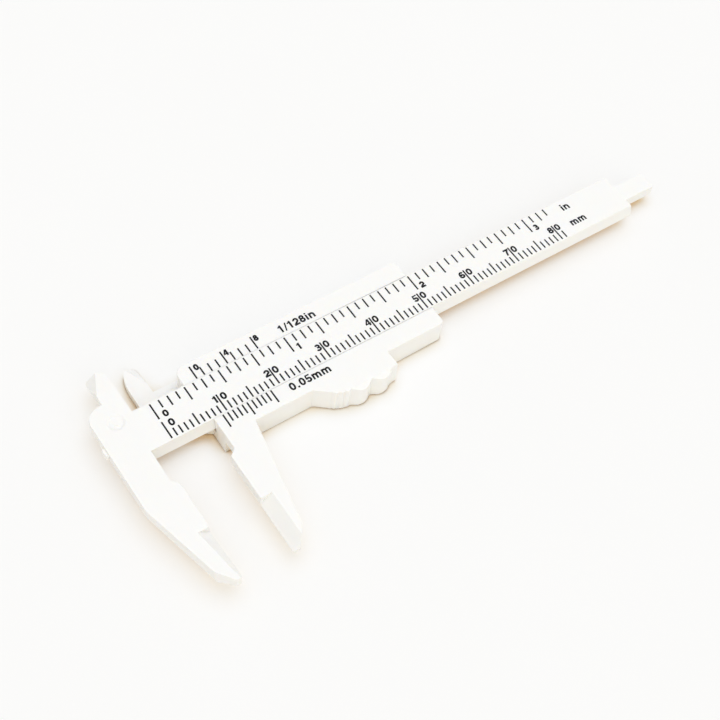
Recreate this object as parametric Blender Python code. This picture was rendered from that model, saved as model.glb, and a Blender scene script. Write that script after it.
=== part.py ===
"""Pocket vernier caliper of white plastic, 80 mm range, with a depth rod, standing 9 mm open.

Three mouldings: a beam that carries the head and both fixed jaws, a slider that carries both
moving jaws, the thumb rest and the verniers, and a depth rod that is pegged to the slider.

Lengths are in metres. X runs along the scale from its zero line, Y across the beam from its
centre line towards the inside jaws, and Z up from the surface that the slider's back lies on.
The slider's and the rod's lengths are counted from the slider's own zero line.
"""

import math

import bmesh
import bpy
from mathutils import Vector

# How far the caliper is open, and its running fits.
READING = 0.009
CLOSED_GAP = 0.0001
SLIDE_CLEARANCE = 0.0001
ROD_CLEARANCE = 0.0001
PEG_CLEARANCE = 0.0001

# Cross-section of the beam and of the slider round it.
SLIDER_THICKNESS = 0.0049
SLIDER_WIDTH = 0.0151
FACE_WIDTH = 0.0077
PLATE_THICKNESS = 0.0021
FLANK_FLARE = 0.0007
SPINE_WIDTH = 0.0063
SPINE_HEIGHT = 0.00115

# Lengths along the beam.
BEAM_END = 0.0962
SPINE_START = 0.0062
GROOVE_START = 0.0035

# Head, with the round gate mark on its face and the gate stub on its end.
HEAD_REACH = 0.0098
HEAD_SHOULDER = 0.00735
HEAD_CORNER_RADIUS = 0.0024
GATE_MARK_REACH = 0.0061
GATE_MARK_HEIGHT = 0.0034
GATE_MARK_RADIUS = 0.0015
GATE_MARK_DEPTH = 0.0002
GATE_MARK_SLOPE = 0.0004
GATE_NUB_RADIUS = 0.0005
GATE_NUB_DEPTH = 0.0001
GATE_STUB_REACH = 0.0005
GATE_STUB_WIDTH = 0.0016
GATE_STUB_THICKNESS = 0.0012
GATE_STUB_DROP = 0.0005
GATE_STUB_OFFSET = 0.0003
GATE_STUB_RADIUS = 0.0003

# Outside jaws, with depths counted from the beam's centre line.
FIXED_FACE = 0.0029
JAW_RELIEF = 0.0012
RELIEF_DEPTH = 0.0102
RELIEF_SLOPE = 0.001
FIXED_TAPER_DEPTH = 0.0128
FIXED_TAPER_RADIUS = 0.004
JAW_DEPTH = 0.0298
JAW_TIP_WIDTH = 0.0011
JAW_TIP_RADIUS = 0.0005
JAW_NOSE_LENGTH = 0.0029
JAW_NOSE_WIDTH = 0.00325
JAW_NOSE_RADIUS = 0.0016
JAW_NOSE_DRAFT = 0.0008
BEVEL_LENGTH = 0.0098
BEVEL_WIDTH = 0.0021
FIXED_BEVEL_TIP_WIDTH = 0.0004
EDGE_LAND = 0.00025
MOVING_JAW_WIDTH = 0.0068
JAW_ROOT_DROP = 0.0002

# Inside jaws, with heights counted from the beam's centre line.
INSIDE_EDGE_REACH = 0.0064
INSIDE_JAW_WIDTH = 0.0033
INSIDE_TIP_HEIGHT = 0.0138
INSIDE_TIP_FALL = 0.0004
INSIDE_TIP_WIDTH = 0.0017
FIXED_CURVE_LENGTH = 0.0018
MOVING_CURVE_LENGTH = 0.005
INSIDE_BEVEL_LENGTH = 0.0046
INSIDE_BEVEL_RISE = 0.0036
INSIDE_BEVEL_WIDTH = 0.0016
WEB_FOOT_HEIGHT = 0.0015

# Slider.
SLIDER_END = 0.0417
SLIDER_CORNER_RADIUS = 0.0007
RAIL_REACH = 0.0025
RAIL_CORNER_RADIUS = 0.0017

# Thumb rest on the slider's lower edge.
REST_START = 0.0149
REST_END = 0.0299
REST_DROP = 0.003
REST_CHAMFER_WIDTH = 0.001
REST_CHAMFER_DEPTH = 0.0004
RIDGE_COUNT = 3
RIDGE_PITCH = 0.00105
RIDGE_HEIGHT = 0.00028
LOBE_COUNT = 2
LOBE_START = 0.0205
LOBE_PITCH = 0.0041
LOBE_HEIGHT = 0.001

# Depth rod.
ROD_WIDTH = 0.0037
ROD_THICKNESS = 0.0023
ROD_START = 0.0345
ROD_END = 0.0947
PEG_RADIUS = 0.0011
PEG_SETBACK = 0.0021

# Graduations, stamped into the faces.
LINE_WIDTH = 0.0002
LINE_DEPTH = 0.00005
MM_SCALE_MARGIN = 0.00025
INCH_SCALE_MARGIN = 0.0002
VERNIER_MARGIN = 0.0001
MILLIMETRE = 0.001
MM_LINE_COUNT = 82
MM_LINE = 0.00155
MM_LINE_FIVE = 0.0023
MM_LINE_TEN = 0.0034
INCH = 0.0254
SIXTEENTH_COUNT = 52
SIXTEENTH_LINE = 0.00155
EIGHTH_LINE = 0.00195
QUARTER_LINE = 0.00266
INCH_LINE = 0.0032
MM_VERNIER_SPAN = 0.009
MM_VERNIER_PARTS = 10
MM_VERNIER_LINE = 0.00175
MM_VERNIER_LONG_LINE = 0.00255
INCH_VERNIER_SPAN = 0.0116
INCH_VERNIER_PARTS = 8
INCH_VERNIER_LINE = 0.0017
INCH_VERNIER_LONG_LINE = 0.0026

# Softening of the mouldings' edges.
EDGE_ROUND = 0.00012

# How far a cutter runs past what it cuts, and a fused solid into its neighbour.
OVERRUN = 0.0005

# Points nearer each other than this count as one.
WELD = 0.000001

# Facets of a softened edge, of a round corner, of a full circle, of a blade's curve and of one wave of the rest.
EDGE_STEPS = 2
CORNER_STEPS = 5
CIRCLE_STEPS = 28
CURVE_STEPS = 8
RAMP_STEPS = 6
RIDGE_STEPS = 6
LOBE_STEPS = 10

# Sizes that follow from the ones above.
FACE = SLIDER_THICKNESS
PLATE_BACK = FACE - PLATE_THICKNESS
SPINE_BACK = PLATE_BACK - SPINE_HEIGHT
CHANNEL_FLOOR = SPINE_BACK - SLIDE_CLEARANCE
HALF_FACE = FACE_WIDTH / 2
HALF_SLIDER = SLIDER_WIDTH / 2
HALF_ROD = ROD_WIDTH / 2
MOVING_FACE = CLOSED_GAP - FIXED_FACE
REST_FLOOR = HALF_SLIDER + REST_DROP
ROD_FACE = SPINE_BACK + ROD_THICKNESS
BEVEL_DEPTH = JAW_DEPTH - BEVEL_LENGTH
NOSE_DEPTH = JAW_DEPTH - JAW_NOSE_LENGTH
PEG_X = ROD_START + PEG_SETBACK
SIXTEENTH = INCH / 16


def clear_scene():
    """Remove every object that the file opened with."""
    for obj in list(bpy.data.objects):
        bpy.data.objects.remove(obj, do_unlink=True)


def plastic(name, colour, roughness):
    """Return a Principled material for a moulded plastic."""
    material = bpy.data.materials.new(name)
    material.use_nodes = True
    shader = material.node_tree.nodes["Principled BSDF"]
    shader.inputs["Base Color"].default_value = (*colour, 1.0)
    shader.inputs["Roughness"].default_value = roughness
    shader.inputs["Metallic"].default_value = 0.0
    return material


def new_object(name, shape, parent=None):
    """Turn a bmesh into a smooth-shaded object of that name."""
    bmesh.ops.recalc_face_normals(shape, faces=shape.faces)
    mesh = bpy.data.meshes.new(name)
    shape.to_mesh(mesh)
    shape.free()
    mesh.shade_smooth()
    mesh.set_sharp_from_angle(angle=math.radians(30))
    obj = bpy.data.objects.new(name, mesh)
    bpy.context.scene.collection.objects.link(obj)
    obj.parent = parent
    return obj


def add_solid(shape, first_ring, second_ring):
    """Add a closed solid between two rings of as many points to a bmesh."""
    first = [shape.verts.new(point) for point in first_ring]
    second = [shape.verts.new(point) for point in second_ring]
    shape.faces.new(reversed(first))
    shape.faces.new(second)
    for here in range(len(first)):
        after = (here + 1) % len(first)
        shape.faces.new((first[here], first[after], second[after], second[here]))


def soften(shape, edges):
    """Round these edges of a bmesh as the mouldings' edges are."""
    bmesh.ops.bevel(
        shape, geom=edges, offset=EDGE_ROUND, segments=EDGE_STEPS, profile=0.5, affect="EDGES"
    )


def loft(name, lower, upper, low, high, parent=None, softened=()):
    """Return a solid between two plan outlines at two heights, with its rims soft at some."""
    shape = bmesh.new()
    add_solid(shape, [(x, y, low) for x, y in lower], [(x, y, high) for x, y in upper])
    for height in softened:
        rim = [
            edge
            for edge in shape.edges
            if all(math.isclose(end.co.z, height, abs_tol=WELD) for end in edge.verts)
        ]
        soften(shape, rim)
    return new_object(name, shape, parent)


def prism(name, outline, low, high, parent=None, softened=()):
    """Return a plan outline extruded from one height to another, with its rims soft at some."""
    return loft(name, outline, outline, low, high, parent, softened)


def bar_along_x(name, section, start, end, parent=None, softened=False):
    """Return a section of (y, z) points extruded along X, with all its edges soft if asked."""
    shape = bmesh.new()
    add_solid(shape, [(start, y, z) for y, z in section], [(end, y, z) for y, z in section])
    if softened:
        soften(shape, list(shape.edges))
    return new_object(name, shape, parent)


def rectangle(low_a, low_b, high_a, high_b):
    """Return the four corners of a rectangle, anticlockwise."""
    return [(low_a, low_b), (high_a, low_b), (high_a, high_b), (low_a, high_b)]


def circle(x, y, radius):
    """Return the points of a circle in plan."""
    turns = [2 * math.pi * step / CIRCLE_STEPS for step in range(CIRCLE_STEPS)]
    return [(x + radius * math.cos(turn), y + radius * math.sin(turn)) for turn in turns]


def rounded(corners):
    """Return an outline from (x, y, radius) corners, with an arc at each that has a radius."""
    outline = []
    for index, (x, y, radius) in enumerate(corners):
        corner = Vector((x, y))
        if radius == 0:
            outline.append((x, y))
            continue
        before = (Vector(corners[index - 1][:2]) - corner).normalized()
        after = (Vector(corners[(index + 1) % len(corners)][:2]) - corner).normalized()
        half_angle = before.angle(after) / 2
        centre = corner + (before + after).normalized() * radius / math.sin(half_angle)
        first = corner + before * radius / math.tan(half_angle) - centre
        last = corner + after * radius / math.tan(half_angle) - centre
        for step in range(CORNER_STEPS + 1):
            spoke = first.slerp(last, step / CORNER_STEPS)
            outline.append(tuple(centre + spoke * radius))
    return outline


def combine(target, tool, operation):
    """Fuse a solid with another, or cut it, and keep the tool out of the model.

    The exact solver leaves open edges where the jaws' bevels meet their softened rims, so the
    manifold solver is used.
    """
    tool.hide_render = True
    tool.display_type = "WIRE"
    modifier = target.modifiers.new(tool.name, "BOOLEAN")
    modifier.operation = operation
    modifier.solver = "MANIFOLD"
    modifier.object = tool


def inside_blade(side, curve_length):
    """Return the (x, y) points of an inside jaw, from its measuring edge's tip to its root.

    side is 1 where the blade lies right of its measuring edge, as the fixed one does, and -1
    where it lies left of it. The last stretch of its back, the curve's length, bends over.
    """
    edge = -INSIDE_EDGE_REACH
    curve_width = INSIDE_JAW_WIDTH - INSIDE_TIP_WIDTH
    curve_start = INSIDE_TIP_HEIGHT - curve_length
    curve_rise = curve_length - INSIDE_TIP_FALL
    points = [(edge, INSIDE_TIP_HEIGHT)]
    for step in range(CURVE_STEPS + 1):
        turn = math.pi / 2 * (1 - step / CURVE_STEPS)
        x = INSIDE_TIP_WIDTH + curve_width * math.cos(turn)
        y = curve_start + curve_rise * math.sin(turn)
        points.append((edge + side * x, y))
    return points


def outside_bevel(name, face, side, tip_width, parent):
    """Return the cutter of an outside jaw's front facet, as wide at the tip as asked.

    side is 1 where the jaw lies right of its measuring face and -1 where it lies left of it.
    """
    fall = (PLATE_THICKNESS - EDGE_LAND) / BEVEL_WIDTH
    taper = (BEVEL_WIDTH - tip_width) / BEVEL_LENGTH
    ends = [(-BEVEL_DEPTH, BEVEL_WIDTH), (-JAW_DEPTH - OVERRUN, tip_width - taper * OVERRUN)]
    rings = [
        [
            (face + side * width, y, FACE),
            (face - side * OVERRUN, y, FACE - fall * (width + OVERRUN)),
            (face - side * OVERRUN, y, FACE + OVERRUN),
            (face + side * width, y, FACE + OVERRUN),
        ]
        for y, width in ends
    ]
    shape = bmesh.new()
    add_solid(shape, *rings)
    return new_object(name, shape, parent)


def inside_bevel(name, side, back, front, parent):
    """Return the cutter of an inside jaw's front facet, which widens towards the tip."""
    run = Vector((side * INSIDE_BEVEL_WIDTH, INSIDE_BEVEL_RISE))
    start = Vector((-INSIDE_EDGE_REACH, INSIDE_TIP_HEIGHT - INSIDE_BEVEL_LENGTH))
    foot = start - run * OVERRUN / INSIDE_BEVEL_WIDTH
    top = start + run * 2
    outline = [foot, top, Vector((foot.x, top.y))]
    slope = side * INSIDE_BEVEL_WIDTH / (front - back - EDGE_LAND)
    above = [(point.x + slope * OVERRUN, point.y) for point in outline]
    below = [(point.x - slope * (front - back), point.y) for point in outline]
    return loft(name, below, above, back, front + OVERRUN, parent)


def stamped_lines(name, lines, parent):
    """Return the cutter for graduation lines, each given as its x and its two ends' y."""
    shape = bmesh.new()
    for x, first_y, second_y in lines:
        ends = sorted((first_y, second_y))
        outline = rectangle(x - LINE_WIDTH / 2, ends[0], x + LINE_WIDTH / 2, ends[1])
        floor = [(a, b, FACE - LINE_DEPTH) for a, b in outline]
        roof = [(a, b, FACE + OVERRUN) for a, b in outline]
        add_solid(shape, floor, roof)
    return new_object(name, shape, parent)


def main_scale_lines():
    """Return the beam's lines: millimetres along its lower edge, sixteenths along its upper."""
    lines = []
    base = MM_SCALE_MARGIN - HALF_FACE
    for count in range(MM_LINE_COUNT):
        length = MM_LINE_TEN if count % 10 == 0 else MM_LINE_FIVE if count % 5 == 0 else MM_LINE
        lines.append((count * MILLIMETRE, base, base + length))
    base = HALF_FACE - INCH_SCALE_MARGIN
    lengths = {0: INCH_LINE, 4: QUARTER_LINE, 8: QUARTER_LINE, 12: QUARTER_LINE}
    for count in range(SIXTEENTH_COUNT):
        plain = SIXTEENTH_LINE if count % 2 else EIGHTH_LINE
        lines.append((count * SIXTEENTH, base, base - lengths.get(count % 16, plain)))
    return lines


def vernier_lines():
    """Return the slider's lines: the millimetre vernier below the beam, the inch one above."""
    lines = []
    base = HALF_FACE + SLIDE_CLEARANCE + VERNIER_MARGIN
    for count in range(MM_VERNIER_PARTS + 1):
        length = MM_VERNIER_LINE if count % 5 else MM_VERNIER_LONG_LINE
        lines.append((MM_VERNIER_SPAN * count / MM_VERNIER_PARTS, -base, -base - length))
    for count in range(INCH_VERNIER_PARTS + 1):
        length = INCH_VERNIER_LINE if count % 4 else INCH_VERNIER_LONG_LINE
        lines.append((INCH_VERNIER_SPAN * count / INCH_VERNIER_PARTS, base, base + length))
    return lines


def beam_outline(flare, nose_draft):
    """Return the plan of head, fixed jaws and scale.

    The scale's edges are moved out by flare, and the jaw's nose runs deeper by nose_draft.
    """
    face = -FIXED_FACE
    edge = HALF_FACE + flare
    corners = [
        (face - JAW_TIP_WIDTH, -JAW_DEPTH, JAW_TIP_RADIUS),
        (face, -JAW_DEPTH, JAW_TIP_RADIUS),
        (face, -RELIEF_DEPTH - RELIEF_SLOPE, 0),
        (face - JAW_RELIEF, -RELIEF_DEPTH, 0),
        (face - JAW_RELIEF, -edge, 0),
        (BEAM_END, -edge, 0),
        (BEAM_END, edge, 0),
        (INSIDE_JAW_WIDTH - INSIDE_EDGE_REACH, edge, 0),
    ]
    corners += [(x, y, 0) for x, y in reversed(inside_blade(1, FIXED_CURVE_LENGTH))]
    corners += [
        (-INSIDE_EDGE_REACH, HEAD_SHOULDER, 0),
        (-HEAD_REACH, HEAD_SHOULDER, HEAD_CORNER_RADIUS),
        (-HEAD_REACH, -FIXED_TAPER_DEPTH, FIXED_TAPER_RADIUS),
        (face - JAW_NOSE_WIDTH, -NOSE_DEPTH - nose_draft, JAW_NOSE_RADIUS),
    ]
    return rounded(corners)


def make_beam(parent):
    """Return the beam: a plate with flared flanks, a grooved spine and both fixed jaws."""
    back = beam_outline(FLANK_FLARE, JAW_NOSE_DRAFT)
    beam = loft("beam", back, beam_outline(0, 0), PLATE_BACK, FACE, parent, softened=[FACE])
    half_spine = SPINE_WIDTH / 2
    section = rectangle(-half_spine, SPINE_BACK, half_spine, PLATE_BACK + OVERRUN)
    spine = bar_along_x("beam_spine", section, -SPINE_START, BEAM_END, parent)
    combine(beam, spine, "UNION")
    stub_top = FACE - GATE_STUB_DROP
    half_stub = GATE_STUB_WIDTH / 2
    corners = [
        (-HEAD_REACH - GATE_STUB_REACH, half_stub - GATE_STUB_OFFSET, GATE_STUB_RADIUS),
        (-HEAD_REACH - GATE_STUB_REACH, -half_stub - GATE_STUB_OFFSET, GATE_STUB_RADIUS),
        (OVERRUN - HEAD_REACH, -half_stub - GATE_STUB_OFFSET, 0),
        (OVERRUN - HEAD_REACH, half_stub - GATE_STUB_OFFSET, 0),
    ]
    stub_back = stub_top - GATE_STUB_THICKNESS
    stub = prism("gate_stub", rounded(corners), stub_back, stub_top, parent)
    combine(beam, stub, "UNION")
    half_groove = HALF_ROD + ROD_CLEARANCE
    section = rectangle(
        -half_groove, SPINE_BACK - OVERRUN, half_groove, ROD_FACE + ROD_CLEARANCE
    )
    groove = bar_along_x("rod_groove", section, -GROOVE_START, BEAM_END + OVERRUN, parent)
    combine(beam, groove, "DIFFERENCE")
    bevel = outside_bevel("fixed_jaw_bevel", -FIXED_FACE, -1, FIXED_BEVEL_TIP_WIDTH, parent)
    combine(beam, bevel, "DIFFERENCE")
    facet = inside_bevel("fixed_inside_bevel", 1, PLATE_BACK, FACE, parent)
    combine(beam, facet, "DIFFERENCE")
    combine(beam, gate_mark(parent), "DIFFERENCE")
    lines = stamped_lines("main_scale_lines", main_scale_lines(), parent)
    combine(beam, lines, "DIFFERENCE")
    return beam


def gate_mark(parent):
    """Return the cutter of the gate mark, a shallow dish with a nub left in its middle."""
    spread = GATE_MARK_SLOPE / GATE_MARK_DEPTH
    mark = loft(
        "gate_mark",
        circle(-GATE_MARK_REACH, GATE_MARK_HEIGHT, GATE_MARK_RADIUS - GATE_MARK_SLOPE),
        circle(-GATE_MARK_REACH, GATE_MARK_HEIGHT, GATE_MARK_RADIUS + spread * OVERRUN),
        FACE - GATE_MARK_DEPTH,
        FACE + OVERRUN,
        parent,
    )
    nub = prism(
        "gate_nub",
        circle(-GATE_MARK_REACH, GATE_MARK_HEIGHT, GATE_NUB_RADIUS),
        FACE - GATE_MARK_DEPTH - OVERRUN,
        FACE - GATE_NUB_DEPTH,
        parent,
    )
    combine(mark, nub, "DIFFERENCE")
    return mark


def thumb_rest():
    """Return the rest's lower edge, left to right: a ramp, fine ridges on it, then lobes."""
    points = []
    ramp_length = LOBE_START - REST_START
    ridges_start = LOBE_START - RIDGE_COUNT * RIDGE_PITCH
    ramp = [
        REST_START + (ridges_start - REST_START) * step / RAMP_STEPS
        for step in range(RAMP_STEPS)
    ]
    ramp += [
        ridges_start + RIDGE_PITCH * step / RIDGE_STEPS
        for step in range(RIDGE_COUNT * RIDGE_STEPS)
    ]
    for x in ramp:
        drop = REST_DROP * math.sin(math.pi / 2 * (x - REST_START) / ramp_length)
        wave = math.cos(2 * math.pi * (x - ridges_start) / RIDGE_PITCH)
        ridge = RIDGE_HEIGHT * (1 - wave) / 2 if x > ridges_start else 0
        points.append((x, -HALF_SLIDER - drop - ridge))
    for step in range(LOBE_COUNT * LOBE_STEPS + 1):
        lobe = LOBE_HEIGHT * abs(math.sin(math.pi * step / LOBE_STEPS))
        points.append((LOBE_START + LOBE_PITCH * step / LOBE_STEPS, -REST_FLOOR - lobe))
    points += [(REST_END, -REST_FLOOR), (REST_END, -HALF_SLIDER)]
    return points


def slider_outline():
    """Return the plan of the slider's full thickness, with the moving outside jaw."""
    relieved = MOVING_FACE + JAW_RELIEF
    corners = [
        (MOVING_FACE, -JAW_DEPTH, JAW_TIP_RADIUS),
        (MOVING_FACE + JAW_TIP_WIDTH, -JAW_DEPTH, JAW_TIP_RADIUS),
        (MOVING_FACE + JAW_NOSE_WIDTH, -NOSE_DEPTH, JAW_NOSE_RADIUS),
        (MOVING_FACE + MOVING_JAW_WIDTH, -HALF_SLIDER, 0),
    ]
    corners += [(x, y, 0) for x, y in thumb_rest()]
    corners += [
        (SLIDER_END, -HALF_SLIDER, SLIDER_CORNER_RADIUS),
        (SLIDER_END, HALF_SLIDER, SLIDER_CORNER_RADIUS),
        (-RAIL_REACH, HALF_SLIDER, RAIL_CORNER_RADIUS),
        (-RAIL_REACH, HALF_FACE, 0),
        (relieved, -HALF_FACE, 0),
        (relieved, -RELIEF_DEPTH, 0),
        (MOVING_FACE, -RELIEF_DEPTH - RELIEF_SLOPE, 0),
    ]
    return rounded(corners)


def back_blade_outline():
    """Return the plan of the moving inside jaw and of its web, which runs behind the beam."""
    blade = inside_blade(-1, MOVING_CURVE_LENGTH)
    left = -INSIDE_EDGE_REACH - INSIDE_JAW_WIDTH
    web = [
        (left, WEB_FOOT_HEIGHT),
        (MOVING_FACE + JAW_RELIEF, -HALF_FACE),
        (0, -HALF_FACE),
        (0, HEAD_SHOULDER),
        (-INSIDE_EDGE_REACH, HEAD_SHOULDER),
    ]
    return blade + web


def channel_section():
    """Return the (y, z) section of the channel that the beam runs in, open in front."""
    mouth = HALF_FACE + SLIDE_CLEARANCE
    wall = mouth + FLANK_FLARE
    right = [(wall, CHANNEL_FLOOR), (wall, PLATE_BACK), (mouth, FACE), (mouth, FACE + OVERRUN)]
    left = [(-y, z) for y, z in reversed(right)]
    return right + left


def make_slider(parent):
    """Return the slider: a channel with two rails, both moving jaws and the thumb rest."""
    slider = prism("slider", slider_outline(), 0, FACE, parent, softened=[0, FACE])
    start = MOVING_FACE - OVERRUN
    end = SLIDER_END + OVERRUN
    channel = bar_along_x("beam_channel", channel_section(), start, end, parent)
    combine(slider, channel, "DIFFERENCE")
    outline = back_blade_outline()
    blade = prism("moving_inside_jaw", outline, 0, CHANNEL_FLOOR, parent)
    facet = inside_bevel("moving_inside_bevel", -1, 0, CHANNEL_FLOOR, parent)
    combine(blade, facet, "DIFFERENCE")
    combine(slider, blade, "UNION")
    jaw_back = prism(
        "moving_jaw_back",
        rectangle(
            MOVING_FACE - OVERRUN,
            -JAW_DEPTH - OVERRUN,
            MOVING_FACE + MOVING_JAW_WIDTH + OVERRUN,
            -HALF_SLIDER - JAW_ROOT_DROP,
        ),
        -OVERRUN,
        PLATE_BACK,
        parent,
    )
    combine(slider, jaw_back, "DIFFERENCE")
    bevel = outside_bevel("moving_jaw_bevel", MOVING_FACE, 1, BEVEL_WIDTH, parent)
    combine(slider, bevel, "DIFFERENCE")
    chamfer_run = LOBE_HEIGHT + OVERRUN
    chamfer_fall = REST_CHAMFER_DEPTH * chamfer_run / REST_CHAMFER_WIDTH
    section = [
        (-REST_FLOOR, FACE),
        (-REST_FLOOR, FACE + OVERRUN),
        (-REST_FLOOR - chamfer_run, FACE + OVERRUN),
        (-REST_FLOOR - chamfer_run, FACE - chamfer_fall),
    ]
    chamfer = bar_along_x("rest_chamfer", section, REST_START, REST_END + OVERRUN, parent)
    combine(slider, chamfer, "DIFFERENCE")
    hole = prism(
        "peg_hole",
        circle(PEG_X, 0, PEG_RADIUS + PEG_CLEARANCE),
        -OVERRUN,
        CHANNEL_FLOOR + OVERRUN,
        parent,
    )
    combine(slider, hole, "DIFFERENCE")
    lines = stamped_lines("vernier_lines", vernier_lines(), parent)
    combine(slider, lines, "DIFFERENCE")
    return slider


def make_depth_rod(parent):
    """Return the depth rod, with the round peg that fixes it in the slider's back."""
    section = rectangle(-HALF_ROD, SPINE_BACK, HALF_ROD, ROD_FACE)
    rod = bar_along_x("depth_rod", section, ROD_START, ROD_END, parent, softened=True)
    peg = prism("rod_peg", circle(PEG_X, 0, PEG_RADIUS), PEG_CLEARANCE, SPINE_BACK + OVERRUN, parent)
    combine(rod, peg, "UNION")
    return rod


def make_caliper():
    """Build the three mouldings about the middle of the caliper's footprint."""
    ivory = plastic("white_plastic", (0.86, 0.85, 0.82), 0.42)
    left = -HEAD_REACH - GATE_STUB_REACH
    right = READING + ROD_END
    base = bpy.data.objects.new("caliper", None)
    base.location = (-(left + right) / 2, (JAW_DEPTH - INSIDE_TIP_HEIGHT) / 2, 0)
    bpy.context.scene.collection.objects.link(base)
    travel = bpy.data.objects.new("slider_travel", None)
    travel.parent = base
    travel.location = (READING, 0, 0)
    bpy.context.scene.collection.objects.link(travel)
    for piece in (make_beam(base), make_slider(travel), make_depth_rod(travel)):
        piece.data.materials.append(ivory)


clear_scene()
make_caliper()
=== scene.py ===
"""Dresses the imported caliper: satin white mouldings, black printed scales and a pale studio."""

import logging
import math
from collections.abc import Iterable, Sequence
from dataclasses import dataclass, replace
from enum import Enum

import bmesh
import bpy
from mathutils import Matrix, Vector


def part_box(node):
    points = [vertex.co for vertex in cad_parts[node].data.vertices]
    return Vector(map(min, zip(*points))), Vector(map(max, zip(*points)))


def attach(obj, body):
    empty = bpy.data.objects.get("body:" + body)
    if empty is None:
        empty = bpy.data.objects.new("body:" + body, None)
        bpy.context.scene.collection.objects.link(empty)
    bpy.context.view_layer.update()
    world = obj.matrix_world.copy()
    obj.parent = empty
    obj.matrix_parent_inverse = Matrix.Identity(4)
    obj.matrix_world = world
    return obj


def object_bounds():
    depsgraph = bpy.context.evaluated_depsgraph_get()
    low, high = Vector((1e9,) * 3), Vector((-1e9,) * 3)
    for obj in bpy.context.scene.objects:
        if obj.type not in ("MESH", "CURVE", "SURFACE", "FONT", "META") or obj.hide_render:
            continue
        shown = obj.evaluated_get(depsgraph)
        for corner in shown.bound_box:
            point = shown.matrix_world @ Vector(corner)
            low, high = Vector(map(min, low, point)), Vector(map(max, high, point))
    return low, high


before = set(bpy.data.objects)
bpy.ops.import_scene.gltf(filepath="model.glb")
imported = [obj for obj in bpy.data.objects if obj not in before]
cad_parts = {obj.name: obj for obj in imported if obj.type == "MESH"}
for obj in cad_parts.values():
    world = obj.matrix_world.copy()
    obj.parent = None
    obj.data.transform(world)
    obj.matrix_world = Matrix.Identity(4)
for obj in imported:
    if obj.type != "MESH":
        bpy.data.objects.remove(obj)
CAD_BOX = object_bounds()
LOG = logging.getLogger("caliper")
ELLIPSE_SQUARENESS = 2

Colour = tuple[float, float, float]
Point = tuple[float, float]
Spot = tuple[float, float, float]
Row = tuple[float, float, float]
Label = tuple[str, float, float]


class Part(Enum):
    """The three mouldings, by the names of their solids."""

    BEAM = "beam"
    SLIDER = "slider"
    DEPTH_ROD = "depth_rod"


class Rider(Enum):
    """The two bodies that a printed piece can travel with."""

    BEAM = "beam"
    SLIDER = "slider"


class Edge(Enum):
    """Which way a row of graduation lines runs from the edge it stands on."""

    UP = 1
    DOWN = -1


class Reckoning(Enum):
    """What a number node does with its two inputs."""

    PRODUCT = "MULTIPLY"
    LARGER = "MAXIMUM"
    BELOW = "LESS_THAN"


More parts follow.
